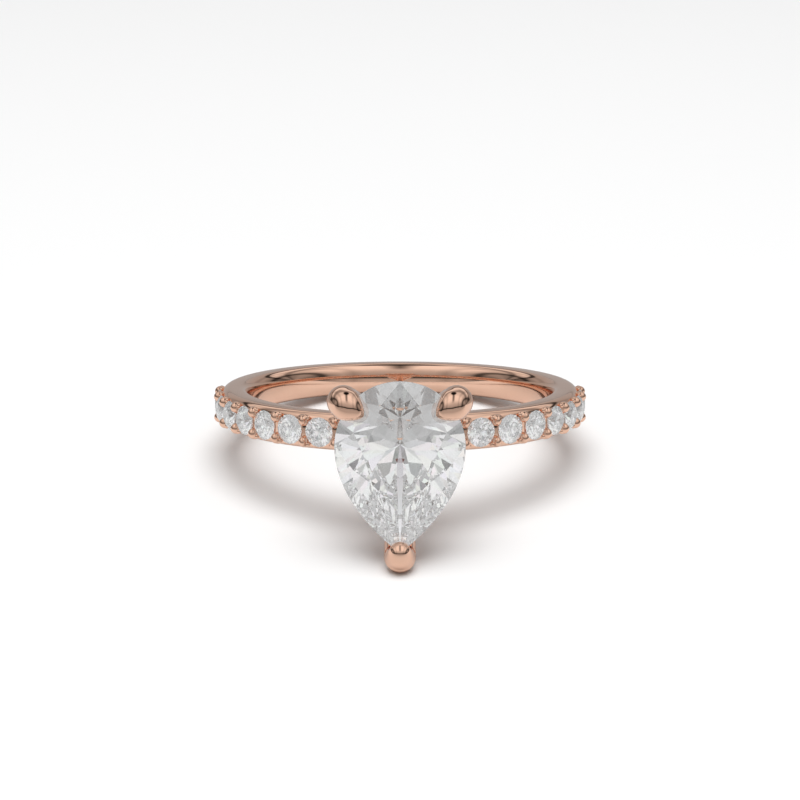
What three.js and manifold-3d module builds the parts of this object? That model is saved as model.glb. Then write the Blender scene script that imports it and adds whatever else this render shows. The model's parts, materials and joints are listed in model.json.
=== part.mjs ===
// Engagement ring: a pear brilliant in a three-claw head, on a band whose front half is set
// with small round brilliants under shared beads.
//
// Millimetres, +Z up. The pieces are built in the ring's own frame, with the finger's axis
// along Z and the head on -Y. The whole ring then leans back as it lies on a table: on the
// back of its band and on its lower claw.

import * as THREE from "three";
import { ConvexGeometry } from "three/addons/geometries/ConvexGeometry.js";
import { mergeVertices } from "three/addons/utils/BufferGeometryUtils.js";
import Module from "manifold-3d";

const wasm = await Module();
wasm.setup();

// ---------------------------------------------------------------- driving dimensions (mm)

// Band
const BORE_RADIUS = 8.45;
const FRONT_THICKNESS = 1.63; // where the small stones are set
const BACK_THICKNESS = 1.55;
const FRONT_WIDTH = 2.0;
const BACK_WIDTH = 1.76;
const SIDE_FLAT = 0.45; // flat on each side of the band, measured across it
const FRONT_SQUARENESS = 2.7; // exponent of the section's rounded corners
const BACK_SQUARENESS = 2.5;

// Small round stones
const STONES_PER_SIDE = 8;
const MELEE_DIAMETER = 1.6;
const MELEE_GAP = 0.25; // between neighbouring girdles
const MELEE_GIRDLE = 0.05;
const MELEE_PROUD = 0.04; // girdle's middle above the band's outer surface
const AZURE_RADIUS = 0.42; // light hole behind each stone

// Beads
const BEAD_RADIUS = 0.27;
const BEAD_OFFSET = 0.55; // from the band's middle, along the finger
const BEAD_PROUD = 0.36; // bead's top above the band's outer surface

// Centre stone
const PEAR_WIDTH = 6.76;
const PEAR_POINT = 5.64; // from the centre of the round end to the point
const PEAR_CROWN = 1.0;
const PEAR_GIRDLE = 0.2;
const PEAR_PAVILION = 2.75;
const PEAR_TABLE_CENTRE = -0.45; // below the centre of the round end
const CULET_ABOVE_BAND = 0.25;

// Head
const CLAW_TOP_RADIUS = 0.84;
const CLAW_FOOT_RADIUS = 0.5;
const CLAW_AZIMUTH = 38.7; // of the upper claws, degrees above the widest line
const CLAW_STANDOFF = 0.33; // upper claw's middle outside the girdle
const POINT_CLAW_STANDOFF = 0.14;
const CLAW_REACH = 1.2; // from a claw's middle to its tip
const CLAW_TIP_RADIUS = 0.16;
const POINT_CLAW_REACH = 0.85;
const POINT_CLAW_TIP_RADIUS = 0.36;
const CLAW_AIM = 0.6; // where the upper claws point, above the centre of the round end
const CLAW_ROOT_SHARE = 0.8; // of the base's height, where a claw starts
const CLAW_OUT_AT_LOWER_RAIL = 0.36; // share of the way from its foot to its middle
const CLAW_OUT_AT_UPPER_RAIL = 0.82;
const CLAW_ABOVE_LOWER_RAIL = 0.15;
const CLAW_BELOW_GIRDLE = 0.15; // where a claw stands upright
const CLAW_BENDS = [[0.08, 0.2], [0.4, 0.5]]; // share of its reach, height above the girdle
const CLAW_TIP_SHARE = 0.72; // of the crown's height
const CLAW_GROWN = 0.7; // share of its length where a claw is at its thickest
const CLAW_TAPER = 0.8; // share of its length where it starts to taper to its tip
const CLAW_TAPER_POWER = 1.6;
const RAIL_RADIUS = 0.3;
const UPPER_RAIL_SHARE = 0.8; // of the stone's outline
const UPPER_RAIL_DROP = 1.2; // below the girdle's middle
const LOWER_RAIL_SHARE = 0.5;
const LOWER_RAIL_DROP = 2.2;
const RAIL_STATIONS = [0, 2, 4, 5.5, 7, 8, 9, 10.5, 12, 14]; // outline steps they pass
const BASE_TOP_RADIUS = 1.3;
const BASE_FOOT_RADIUS = 0.85;
const BASE_HEIGHT = 0.7; // above the band
const BASE_FOOT_HEIGHT = 0.14;
const BASE_SPIGOT_RADIUS = 0.65;
const BASE_SPIGOT_DEPTH = 0.5;
const BASE_SHOULDER_DEPTH = 0.15; // where the base narrows to its spigot
const BASE_WALL = 0.55;
const BASE_FLOOR_SHARE = 0.4; // of the hollow's radius

// Clearances
const CLEARANCE = 0.02; // between a stone or a soldered piece and the metal round it
const BEAD_TO_BASE = 0.08;

// Facets
const BAND_SEGMENTS = 80;
const CORNER_STEPS = 3;
const SEAT_SIDES = 16; // as many as a round stone's girdle has, so that its corners fit
const BEAD_SIDES = 6;
const BEAD_DOME = [0, 45, 90]; // degrees from its top
const WIRE_SIDES = 12;
const CLAW_STEPS = 16;
const RAIL_SIDES = 8;
const RAIL_STEPS = 36;
const MAINS = 8;
const PEAR_RIM_STEPS = 4; // per girdle facet
const WELD = 1e-5;
const MOST_LEAN = Math.PI / 3;
const LEAN_HALVINGS = 40;

// Cut proportions, as shares of the round brilliant's own sizes
const TABLE_SHARE = 0.56;
const MELEE_CROWN_SHARE = 0.3; // of the stone's radius
const MELEE_PAVILION_SHARE = 0.86;
const STAR_HEIGHT = 0.68; // star facets' lower corners, as a share of the crown's height
const LOWER_HALF_DEPTH = 0.79; // lower girdle facets' inner corners, of the pavilion's depth

// ---------------------------------------------------------------- sizes that follow

const DEGREE = Math.PI / 180;
const MELEE_RADIUS = MELEE_DIAMETER / 2;
const BAND_OUTER = BORE_RADIUS + FRONT_THICKNESS;
const MELEE_SEAT = BAND_OUTER + MELEE_PROUD;
const MELEE_PITCH = (MELEE_DIAMETER + MELEE_GAP) / MELEE_SEAT;
const FIRST_BEAD = (BASE_TOP_RADIUS + BEAD_TO_BASE + BEAD_RADIUS) / BAND_OUTER;
const SET_END = FIRST_BEAD + STONES_PER_SIDE * MELEE_PITCH;

// a girdle outline is walked in steps, from the top and clockwise: an even step is the foot of
// a main facet, an odd one lies between two mains
const GIRDLE_STEPS = 2 * MAINS;
const PEAR_RADIUS = PEAR_WIDTH / 2;
const GIRDLE_HEIGHT = BAND_OUTER + CULET_ABOVE_BAND + PEAR_PAVILION + PEAR_GIRDLE / 2;

const GOLD = new THREE.MeshStandardMaterial({
  name: "rose_gold", color: 0xd9a38c, metalness: 1, roughness: 0.12,
});
const DIAMOND = new THREE.MeshStandardMaterial({
  name: "diamond", color: 0xf4f6f8, metalness: 0, roughness: 0.02,
});

// ---------------------------------------------------------------- solids

/** Turns a closed three.js geometry into a solid that can be joined and cut. */
function toSolid(geometry) {
  const bare = new THREE.BufferGeometry();
  bare.setAttribute("position", geometry.getAttribute("position"));
  bare.setIndex(geometry.getIndex());
  const merged = mergeVertices(bare, WELD);
  const index = merged.getIndex().array;
  const corners = [];
  for (let i = 0; i < index.length; i += 3) {
    const [a, b, c] = [index[i], index[i + 1], index[i + 2]];
    if (a !== b && b !== c && c !== a) {
      corners.push(a, b, c);
    }
  }
  return new wasm.Manifold(new wasm.Mesh({
    numProp: 3,
    vertProperties: new Float32Array(merged.getAttribute("position").array),
    triVerts: new Uint32Array(corners),
  }));
}

/** Turns a solid back into a geometry with flat facets. */
function toGeometry(solid) {
  const mesh = solid.getMesh();
  const indexed = new THREE.BufferGeometry();
  indexed.setAttribute("position", new THREE.BufferAttribute(mesh.vertProperties, 3));
  indexed.setIndex(new THREE.BufferAttribute(mesh.triVerts, 1));
  const flat = indexed.toNonIndexed();
  flat.computeVertexNormals();
  return flat;
}

function namedMesh(name, geometry, material) {
  const mesh = new THREE.Mesh(geometry, material);
  mesh.name = name;
  return mesh;
}

/** A turned shape about Z, from its (radius, height) profile, listed from top to bottom. */
function turned(profile, sides) {
  const points = profile.map(([radius, height]) => new THREE.Vector2(radius, -height));
  return new THREE.LatheGeometry(points, sides).rotateX(-Math.PI / 2);
}

/** Where a stone sits on the band: X along the band, Y along the finger, Z outwards. */
function bandPlace(theta, radius, along = 0) {
  const outwards = new THREE.Vector3(Math.sin(theta), -Math.cos(theta), 0);
  const onward = new THREE.Vector3(Math.cos(theta), Math.sin(theta), 0);
  const finger = new THREE.Vector3(0, 0, 1);
  return new THREE.Matrix4().makeBasis(onward, finger, outwards)
    .setPosition(outwards.x * radius, outwards.y * radius, along);
}

// ---------------------------------------------------------------- cut stones

function roundOutline(radius) {
  return (step) => {
    const angle = (step / GIRDLE_STEPS) * 2 * Math.PI;
    const normal = new THREE.Vector2(Math.sin(angle), Math.cos(angle));
    return { point: normal.clone().multiplyScalar(radius), normal };
  };
}

/** A half circle above, and a parabola down each flank to the point. */
function pearOutline(radius, pointLength) {
  const quarter = GIRDLE_STEPS / 4;
  return (step) => {
    const side = step > GIRDLE_STEPS / 2 ? -1 : 1;
    const walked = side > 0 ? step : GIRDLE_STEPS - step;
    if (walked <= quarter) {
      const angle = (walked / quarter) * Math.PI / 2;
      const normal = new THREE.Vector2(side * Math.sin(angle), Math.cos(angle));
      return { point: normal.clone().multiplyScalar(radius), normal };
    }
    const down = walked / quarter - 1;
    const point = new THREE.Vector2(side * radius * (1 - down * down), -pointLength * down);
    const normal = down === 1
      ? new THREE.Vector2(0, -1)
      : new THREE.Vector2(side * pointLength, -2 * radius * down).normalize();
    return { point, normal };
  };
}

function raised(point, height) {
  return new THREE.Vector3(point.x, point.y, height);
}

/** A main facet: it holds the outline's tangent at its foot, and one more point. */
function mainFacet(foot, normal, apex) {
  const along = new THREE.Vector3(-normal.y, normal.x, 0);
  return new THREE.Plane().setFromCoplanarPoints(foot, foot.clone().add(along), apex);
}

/** Where two facets and a level plane meet. */
function meetingAt(facetA, facetB, height) {
  const [a, b] = [facetA.normal, facetB.normal];
  const restA = -facetA.constant - a.z * height;
  const restB = -facetB.constant - b.z * height;
  const det = a.x * b.y - a.y * b.x;
  return new THREE.Vector3(
    (restA * b.y - a.y * restB) / det,
    (a.x * restB - restA * b.x) / det,
    height,
  );
}

/** The corners where one girdle facet's plane reaches the rim, from one step to the next. */
function scallop(outline, step, height, inner, rimSteps) {
  const foot = raised(outline(step).point, height);
  const next = raised(outline(step + 1).point, height);
  const facet = new THREE.Plane().setFromCoplanarPoints(foot, next, inner);
  const corners = [foot, next];
  for (let i = 1; i < rimSteps; i += 1) {
    const { point } = outline(step + i / rimSteps);
    const flat = facet.normal.x * point.x + facet.normal.y * point.y + facet.constant;
    corners.push(raised(point, -flat / facet.normal.z));
  }
  return corners;
}

/** A 57-facet brilliant on any outline, with its girdle's middle at height 0. */
function brilliant({ outline, tableCentre, crown, girdle, pavilion, rimSteps }) {
  const rim = girdle / 2;
  const top = rim + crown;
  const culet = new THREE.Vector3(0, 0, -rim - pavilion);
  const centre = new THREE.Vector2(0, tableCentre);
  const mains = Array.from({ length: MAINS }, (_, k) => {
    const { point, normal } = outline(2 * k);
    const tableCorner = raised(centre.clone().lerp(point, TABLE_SHARE), top);
    return {
      tableCorner,
      kite: mainFacet(raised(point, rim), normal, tableCorner),
      pavilionMain: mainFacet(raised(point, -rim), normal, culet),
    };
  });
  const corners = [culet];
  mains.forEach((main, k) => {
    const next = mains[(k + 1) % MAINS];
    const star = meetingAt(main.kite, next.kite, rim + crown * STAR_HEIGHT);
    const inner = meetingAt(main.pavilionMain, next.pavilionMain,
      -rim - pavilion * LOWER_HALF_DEPTH);
    corners.push(main.tableCorner, star, inner);
    for (const step of [2 * k, 2 * k + 1]) {
      corners.push(
        ...scallop(outline, step, rim, star, rimSteps),
        ...scallop(outline, step, -rim, inner, rimSteps),
      );
    }
  });
  return new ConvexGeometry(corners);
}

function meleeStone() {
  return brilliant({
    outline: roundOutline(MELEE_RADIUS),
    tableCentre: 0,
    crown: MELEE_RADIUS * MELEE_CROWN_SHARE,
    girdle: MELEE_GIRDLE,
    pavilion: MELEE_RADIUS * MELEE_PAVILION_SHARE,
    rimSteps: 1,
  });
}

/** The centre stone, or with room all round it, the tool that cuts its seats. */
function centreStone(room = 0) {
  return brilliant({
    outline: pearOutline(PEAR_RADIUS + room, PEAR_POINT + room),
    tableCentre: PEAR_TABLE_CENTRE,
    crown: PEAR_CROWN + room,
    girdle: PEAR_GIRDLE + 2 * room,
    pavilion: PEAR_PAVILION + room,
    rimSteps: PEAR_RIM_STEPS,
  });
}

// ---------------------------------------------------------------- band

/** 0 along the set front of the band, easing to 1 at its plain back. */
function plainShare(theta) {
  const walked = Math.min(theta, 2 * Math.PI - theta);
  return THREE.MathUtils.smoothstep(walked, SET_END, Math.PI);
}

/** Corner points of a quarter of the section, from its side to its crown, in unit sizes. */
function cornerPoint(step, squareness) {
  const turn = (step / CORNER_STEPS) * Math.PI / 2;
  return {
    across: Math.sin(turn) ** (2 / squareness),
    along: Math.cos(turn) ** (2 / squareness),
  };
}

/** The section's outline as quarters: outer upper, outer lower, inner lower, inner upper. */
function sectionSteps() {
  const quarters = [
    { out: 1, up: 1, rising: true },
    { out: 1, up: -1, rising: false },
    { out: -1, up: -1, rising: true },
    { out: -1, up: 1, rising: false },
  ];
  return quarters.flatMap(({ out, up, rising }) => {
    const steps = Array.from({ length: CORNER_STEPS + 1 }, (_, i) => i);
    const ordered = rising ? steps : steps.reverse();
    // the crown point is shared by two quarters, so each second quarter leaves it out
    return ordered.filter((step) => rising || step < CORNER_STEPS)
      .map((step) => ({ out, up, step }));
  });
}

/** Where a point of the section lies at an angle round the band. */
function sectionPoint({ out, up, step }, theta) {
  const plain = plainShare(theta);
  const thickness = THREE.MathUtils.lerp(FRONT_THICKNESS, BACK_THICKNESS, plain);
  const width = THREE.MathUtils.lerp(FRONT_WIDTH, BACK_WIDTH, plain);
  const squareness = THREE.MathUtils.lerp(FRONT_SQUARENESS, BACK_SQUARENESS, plain);
  const corner = cornerPoint(step, squareness);
  const cornerDepth = (thickness - SIDE_FLAT) / 2;
  return {
    radius: BORE_RADIUS + thickness / 2 + out * (SIDE_FLAT / 2 + cornerDepth * corner.across),
    along: up * (width / 2) * corner.along,
  };
}

/** The band before anything is cut in it: a lathed ring whose section changes on the way. Its
 * lowest point at the back is the middle of a facet, so that the ring lies steady. */
function bandBlank() {
  const steps = sectionSteps();
  const closed = [...steps, steps[0]];
  const profile = closed.map((step) => {
    const { radius, along } = sectionPoint(step, 0);
    return new THREE.Vector2(radius, -along);
  });
  const geometry = new THREE.LatheGeometry(profile, BAND_SEGMENTS);
  const position = geometry.getAttribute("position");
  for (let i = 0; i < position.count; i += 1) {
    const segment = Math.floor(i / closed.length) % BAND_SEGMENTS;
    const theta = (segment + 0.5) / BAND_SEGMENTS * 2 * Math.PI;
    const { radius, along } = sectionPoint(closed[i % closed.length], theta);
    position.setXYZ(i, -radius * Math.sin(theta), -radius * Math.cos(theta), along);
  }
  return geometry;
}

function beadBlank() {
  const rise = BEAD_PROUD - BEAD_RADIUS;
  const dome = BEAD_DOME.map((degrees) => [
    BEAD_RADIUS * Math.sin(degrees * DEGREE),
    rise + BEAD_RADIUS * Math.cos(degrees * DEGREE),
  ]);
  const root = -BEAD_RADIUS;
  return turned([...dome, [BEAD_RADIUS, root], [0, root]], BEAD_SIDES);
}

/** Cuts a stone's seat: straight walls above the girdle, a cone below, a light hole through. */
function seatTool() {
  const wall = MELEE_RADIUS + CLEARANCE;
  const pavilion = MELEE_RADIUS * MELEE_PAVILION_SHARE;
  const shoulder = -MELEE_GIRDLE / 2 - CLEARANCE;
  const holeTop = shoulder - pavilion * (1 - AZURE_RADIUS / wall);
  const through = -2 * FRONT_THICKNESS;
  const open = BEAD_PROUD + BEAD_RADIUS;
  return turned([
    [0, open], [wall, open], [wall, shoulder],
    [AZURE_RADIUS, holeTop], [AZURE_RADIUS, through], [0, through],
  ], SEAT_SIDES);
}

function stoneAngle(number) {
  return FIRST_BEAD + (number - 0.5) * MELEE_PITCH;
}

function shank() {
  let solid = toSolid(bandBlank());
  for (const side of [-1, 1]) {
    for (let k = 0; k <= STONES_PER_SIDE; k += 1) {
      const theta = side * (FIRST_BEAD + k * MELEE_PITCH);
      for (const along of [-BEAD_OFFSET, BEAD_OFFSET]) {
        const place = bandPlace(theta, BAND_OUTER, along);
        solid = solid.add(toSolid(beadBlank().applyMatrix4(place)));
      }
    }
    for (let number = 1; number <= STONES_PER_SIDE; number += 1) {
      const place = bandPlace(side * stoneAngle(number), MELEE_SEAT);
      solid = solid.subtract(toSolid(seatTool().applyMatrix4(place)));
    }
  }
  return solid.subtract(toSolid(baseBlank(CLEARANCE).rotateX(Math.PI / 2)));
}

// ---------------------------------------------------------------- head
// Head pieces are built with X across, Y along the finger and Z out from the ring's centre.

/** A round wire along a curve, with a radius that changes on the way, and a facet underneath. */
function taperedWire(curve, radiusAt, sides, steps) {
  const geometry = new THREE.CylinderGeometry(1, 1, 1, sides, steps).rotateY(Math.PI / sides);
  const frames = curve.computeFrenetFrames(steps, false);
  const position = geometry.getAttribute("position");
  for (let i = 0; i < position.count; i += 1) {
    const station = Math.round((0.5 - position.getY(i)) * steps);
    const share = station / steps;
    const radius = radiusAt(share);
    const centre = curve.getPointAt(share);
    centre.addScaledVector(frames.normals[station], radius * position.getX(i));
    centre.addScaledVector(frames.binormals[station], radius * position.getZ(i));
    position.setXYZ(i, centre.x, centre.y, centre.z);
  }
  return geometry;
}

/** A claw's centre line: out of the base, round the stone's side and over its crown. */
function clawCurve(foot, middle, aim, reach) {
  const inward = aim.clone().sub(middle).normalize();
  const outward = middle.clone().sub(foot);
  const at = (flat, height) => new THREE.Vector3(flat.x, flat.y, height);
  const crownFoot = GIRDLE_HEIGHT + PEAR_GIRDLE / 2;
  return new THREE.CatmullRomCurve3([
    at(foot, BAND_OUTER + BASE_HEIGHT * CLAW_ROOT_SHARE),
    at(foot.clone().addScaledVector(outward, CLAW_OUT_AT_LOWER_RAIL),
      GIRDLE_HEIGHT - LOWER_RAIL_DROP + CLAW_ABOVE_LOWER_RAIL),
    at(foot.clone().addScaledVector(outward, CLAW_OUT_AT_UPPER_RAIL),
      GIRDLE_HEIGHT - UPPER_RAIL_DROP),
    at(middle, GIRDLE_HEIGHT - CLAW_BELOW_GIRDLE),
    ...CLAW_BENDS.map(([share, height]) =>
      at(middle.clone().addScaledVector(inward, reach * share), crownFoot + height)),
    at(middle.clone().addScaledVector(inward, reach), crownFoot + PEAR_CROWN * CLAW_TIP_SHARE),
  ]);
}

/** A claw as bent wire, tapering to its foot and, past the girdle, to its tip. */
function clawBlank({ foot, middle, aim, reach, tipRadius }, room = 0) {
  const curve = clawCurve(foot, middle, aim, reach);
  return taperedWire(curve, (share) => {
    if (share < CLAW_TAPER) {
      const grown = Math.min(1, share / CLAW_GROWN);
      return THREE.MathUtils.lerp(CLAW_FOOT_RADIUS, CLAW_TOP_RADIUS, grown) + room;
    }
    const closing = ((share - CLAW_TAPER) / (1 - CLAW_TAPER)) ** CLAW_TAPER_POWER;
    return THREE.MathUtils.lerp(CLAW_TOP_RADIUS, tipRadius, closing) + room;
  }, WIRE_SIDES, CLAW_STEPS);
}

function clawPlans() {
  const footDistance = BASE_TOP_RADIUS - BASE_WALL / 2;
  const aim = new THREE.Vector2(0, CLAW_AIM);
  const upper = (side) => {
    const ray = new THREE.Vector2(
      side * Math.cos(CLAW_AZIMUTH * DEGREE), Math.sin(CLAW_AZIMUTH * DEGREE));
    return {
      foot: ray.clone().multiplyScalar(footDistance),
      middle: ray.clone().multiplyScalar(PEAR_RADIUS + CLAW_STANDOFF),
      aim,
      reach: CLAW_REACH,
      tipRadius: CLAW_TIP_RADIUS,
    };
  };
  return {
    claw_left: upper(-1),
    claw_right: upper(1),
    claw_point: {
      foot: new THREE.Vector2(0, -footDistance),
      middle: new THREE.Vector2(0, -PEAR_POINT - POINT_CLAW_STANDOFF),
      aim,
      reach: POINT_CLAW_REACH,
      tipRadius: POINT_CLAW_TIP_RADIUS,
    },
  };
}

/** A closed gallery wire that follows a share of the stone's outline. */
function railBlank(share, drop, radius) {
  const outline = pearOutline(PEAR_RADIUS * share, PEAR_POINT * share);
  const loop = new THREE.CatmullRomCurve3(RAIL_STATIONS.map((step) =>
    raised(outline(step).point, GIRDLE_HEIGHT - drop)), true);
  return new THREE.TubeGeometry(loop, RAIL_STEPS, radius, RAIL_SIDES, true);
}

/** The collar under the claws, with its spigot in the band and a hollow for the culet. */
function baseBlank(room = 0) {
  const top = BAND_OUTER + BASE_HEIGHT;
  const hollow = BASE_TOP_RADIUS - BASE_WALL;
  const outside = [
    [BASE_TOP_RADIUS + room, top + room],
    [BASE_FOOT_RADIUS + room, BAND_OUTER + BASE_FOOT_HEIGHT],
    [BASE_SPIGOT_RADIUS + room, BAND_OUTER - BASE_SHOULDER_DEPTH],
    [BASE_SPIGOT_RADIUS + room, BAND_OUTER - BASE_SPIGOT_DEPTH - room],
    [0, BAND_OUTER - BASE_SPIGOT_DEPTH - room],
  ];
  const inside = room > 0
    ? [[0, top + room]]
    : [[0, BAND_OUTER], [hollow * BASE_FLOOR_SHARE, BAND_OUTER], [hollow, top]];
  return turned([...inside, ...outside], SEAT_SIDES);
}

function head() {
  const group = new THREE.Group();
  const stoneRoom = toSolid(centreStone(CLEARANCE).translate(0, 0, GIRDLE_HEIGHT));
  const rails = {
    gallery_rail_upper: [UPPER_RAIL_SHARE, UPPER_RAIL_DROP],
    gallery_rail_lower: [LOWER_RAIL_SHARE, LOWER_RAIL_DROP],
  };
  let railRoom = null;
  for (const [name, [share, drop]] of Object.entries(rails)) {
    group.add(namedMesh(name, railBlank(share, drop, RAIL_RADIUS), GOLD));
    const room = toSolid(railBlank(share, drop, RAIL_RADIUS + CLEARANCE));
    railRoom = railRoom ? railRoom.add(room) : room;
  }
  let base = toSolid(baseBlank());
  for (const [name, plan] of Object.entries(clawPlans())) {
    const wire = toSolid(clawBlank(plan));
    base = base.subtract(toSolid(clawBlank(plan, CLEARANCE)));
    const claw = wire.subtract(stoneRoom).subtract(railRoom);
    group.add(namedMesh(name, toGeometry(claw), GOLD));
  }
  group.add(namedMesh("head_base", toGeometry(base), GOLD));
  const stone = namedMesh("centre_stone", centreStone(), DIAMOND);
  stone.position.z = GIRDLE_HEIGHT;
  group.add(stone);
  group.rotation.x = Math.PI / 2;
  return group;
}

// ---------------------------------------------------------------- the ring

function ringAssembly() {
  const ring = new THREE.Group();
  ring.add(namedMesh("shank", toGeometry(shank()), GOLD));
  for (const [side, word] of [[-1, "left"], [1, "right"]]) {
    for (let number = 1; number <= STONES_PER_SIDE; number += 1) {
      const stone = namedMesh(`side_stone_${word}_${number}`, meleeStone(), DIAMOND);
      const place = bandPlace(side * stoneAngle(number), MELEE_SEAT);
      place.decompose(stone.position, stone.quaternion, stone.scale);
      ring.add(stone);
    }
  }
  ring.add(head());
  return ring;
}

/** The lowest point of a piece when the ring leans back by this angle. */
function lowestPoint(geometry, lean) {
  const position = geometry.getAttribute("position");
  let lowest = Infinity;
  for (let i = 0; i < position.count; i += 1) {
    const height = position.getZ(i) * Math.cos(lean) - position.getY(i) * Math.sin(lean);
    lowest = Math.min(lowest, height);
  }
  return lowest;
}

/** The lean at which the back of the band and the lower claw both touch the table. */
function restingLean(ring) {
  ring.updateMatrixWorld(true);
  const [band, claw] = ["shank", "claw_point"].map((name) => {
    const mesh = ring.getObjectByName(name);
    return mesh.geometry.clone().applyMatrix4(mesh.matrixWorld);
  });
  let [low, high] = [0, MOST_LEAN];
  for (let i = 0; i < LEAN_HALVINGS; i += 1) {
    const lean = (low + high) / 2;
    if (lowestPoint(claw, lean) < lowestPoint(band, lean)) {
      low = lean;
    } else {
      high = lean;
    }
  }
  return (low + high) / 2;
}

/** The ring as it lies, with the middle of its bounding box's bottom at the origin. */
function restingRing() {
  const ring = ringAssembly();
  ring.rotation.x = -restingLean(ring);
  const box = new THREE.Box3().setFromObject(ring, true);
  const centre = box.getCenter(new THREE.Vector3());
  ring.position.set(-centre.x, -centre.y, -box.min.z);
  const group = new THREE.Group();
  group.add(ring);
  return group;
}

export default restingRing();
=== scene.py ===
"""Engagement ring: the polished look of a pear brilliant ring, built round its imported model.

Lengths in the dataclasses are millimetres in the ring's own axes: X across, Y from the head
to the back of the band, Z along the finger. RingFrame carries them to the room, in metres.
"""

import json
import logging
import math
from dataclasses import dataclass, field
from enum import Enum
from typing import Optional, Sequence

import bmesh
import bpy
from mathutils import Matrix, Quaternion, Vector

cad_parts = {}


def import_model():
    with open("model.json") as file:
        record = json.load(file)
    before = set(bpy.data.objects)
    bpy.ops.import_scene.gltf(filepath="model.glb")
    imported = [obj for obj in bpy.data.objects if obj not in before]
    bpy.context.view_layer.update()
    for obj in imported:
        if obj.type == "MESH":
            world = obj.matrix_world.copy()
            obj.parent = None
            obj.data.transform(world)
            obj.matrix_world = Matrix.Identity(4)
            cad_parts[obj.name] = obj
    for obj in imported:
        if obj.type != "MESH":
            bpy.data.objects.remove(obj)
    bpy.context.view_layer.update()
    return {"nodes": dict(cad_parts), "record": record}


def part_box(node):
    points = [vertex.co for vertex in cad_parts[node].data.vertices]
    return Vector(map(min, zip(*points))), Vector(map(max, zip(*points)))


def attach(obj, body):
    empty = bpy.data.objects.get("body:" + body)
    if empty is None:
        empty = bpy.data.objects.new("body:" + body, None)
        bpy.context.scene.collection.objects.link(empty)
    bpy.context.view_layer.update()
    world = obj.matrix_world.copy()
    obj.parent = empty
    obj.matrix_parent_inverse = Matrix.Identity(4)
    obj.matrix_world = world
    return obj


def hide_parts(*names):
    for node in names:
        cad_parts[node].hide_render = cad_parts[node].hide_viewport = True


LOG = logging.getLogger("ring")
MM = 0.001
FULL_TURN = 2 * math.pi
WELD = 1e-5
STONE_WELD = 1e-3 * MM
CURVE_STEPS = 40
Stops = tuple[tuple[float, float], ...]


# ------------------------------------------------------------------------------- sizes


@dataclass(frozen=True)
class BandSizes:
    """The band, in millimetres."""

    bore_radius: float = 8.45
    front_thickness: float = 1.63
    back_thickness: float = 1.55
    front_width: float = 2.0
    back_width: float = 1.76
    side_flat: float = 0.45
    front_squareness: float = 2.7
    back_squareness: float = 2.5
    segments: int = 360
    section_sides: int = 56
    blank_radius: float = 0.5
    crease: float = 32.0

    @property
    def outer(self) -> float:
        """The outer radius where the stones are set."""
        return self.bore_radius + self.front_thickness

    @property
    def back_middle(self) -> float:
        """The radius halfway through the plain back."""
        return self.bore_radius + self.back_thickness / 2


@dataclass(frozen=True)
class SettingSizes:
    """The small stones, their seats and the beads that hold them, in millimetres."""

    per_side: int = 8
    stone_radius: float = 0.8
    gap: float = 0.25
    proud: float = 0.04
    pavilion: float = 0.688
    light_hole: float = 0.42
    clearance: float = 0.02
    seat_top: float = 0.8
    seat_shoulder: float = 0.045
    drill_depth: float = 2.4
    drill_sides: int = 48
    bead_shape: tuple[float, float, float] = (0.27, 0.31, 0.36)
    bead_offset: float = 0.58
    bead_lift: float = 0.02
    tail_shape: tuple[float, float, float] = (0.37, 0.18, 0.16)
    tail_offset: float = 0.72
    bead_steps: tuple[int, int] = (24, 16)
    first_bead_arc: float = 1.65


@dataclass(frozen=True)
class HeadSizes:
    """The pear, its claws, gallery wires and collar, in millimetres."""

    pear_radius: float = 3.38
    pear_point: float = 5.64
    girdle: float = 0.2
    girdle_height: float = 13.18
    claw_top: float = 0.84
    claw_foot: float = 0.5
    claw_azimuth: float = 38.7
    claw_standoff: float = 0.33
    point_standoff: float = 0.14
    claw_reach: float = 1.2
    point_reach: float = 0.85
    claw_aim: float = 0.6
    claw_tip: float = 0.16
    point_tip: float = 0.36
    claw_root_share: float = 0.8
    claw_rise: tuple[tuple[float, float], ...] = ((0.36, 2.05), (0.82, 1.2))
    claw_pass: float = 0.15
    claw_bends: tuple[tuple[float, float], ...] = ((0.08, 0.2), (0.4, 0.5), (1.0, 0.72))
    claw_grown: float = 0.7
    claw_taper: float = 0.8
    claw_taper_power: float = 1.6
    claw_end: tuple[float, ...] = (0.25, 0.6, 0.8, 0.92, 0.98)
    claw_stations: int = 120
    claw_sides: int = 48
    claw_seat_room: float = 0.006
    rails: tuple[tuple[str, float, float], ...] = (
        ("gallery_rail_upper", 0.8, 1.2), ("gallery_rail_lower", 0.5, 2.2),
    )
    rail_marks: tuple[float, ...] = (0, 2, 4, 5.5, 7, 8, 9, 10.5, 12, 14)
    rail_steps: int = 160
    rail_sides: int = 24
    rail_radius: float = 0.3
    room: float = 0.01
    base_top: float = 1.3
    base_foot: float = 0.85
    base_height: float = 0.7
    base_wall: float = 0.55
    base_foot_share: float = 0.2
    base_floor_share: float = 0.4
    base_lip: float = 0.04
    base_edge: float = 0.06
    base_sides: int = 64
    spigot_radius: float = 0.65
    spigot_depth: float = 0.5
    spigot_shoulder: float = 0.3
    crease: float = 35.0


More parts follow.
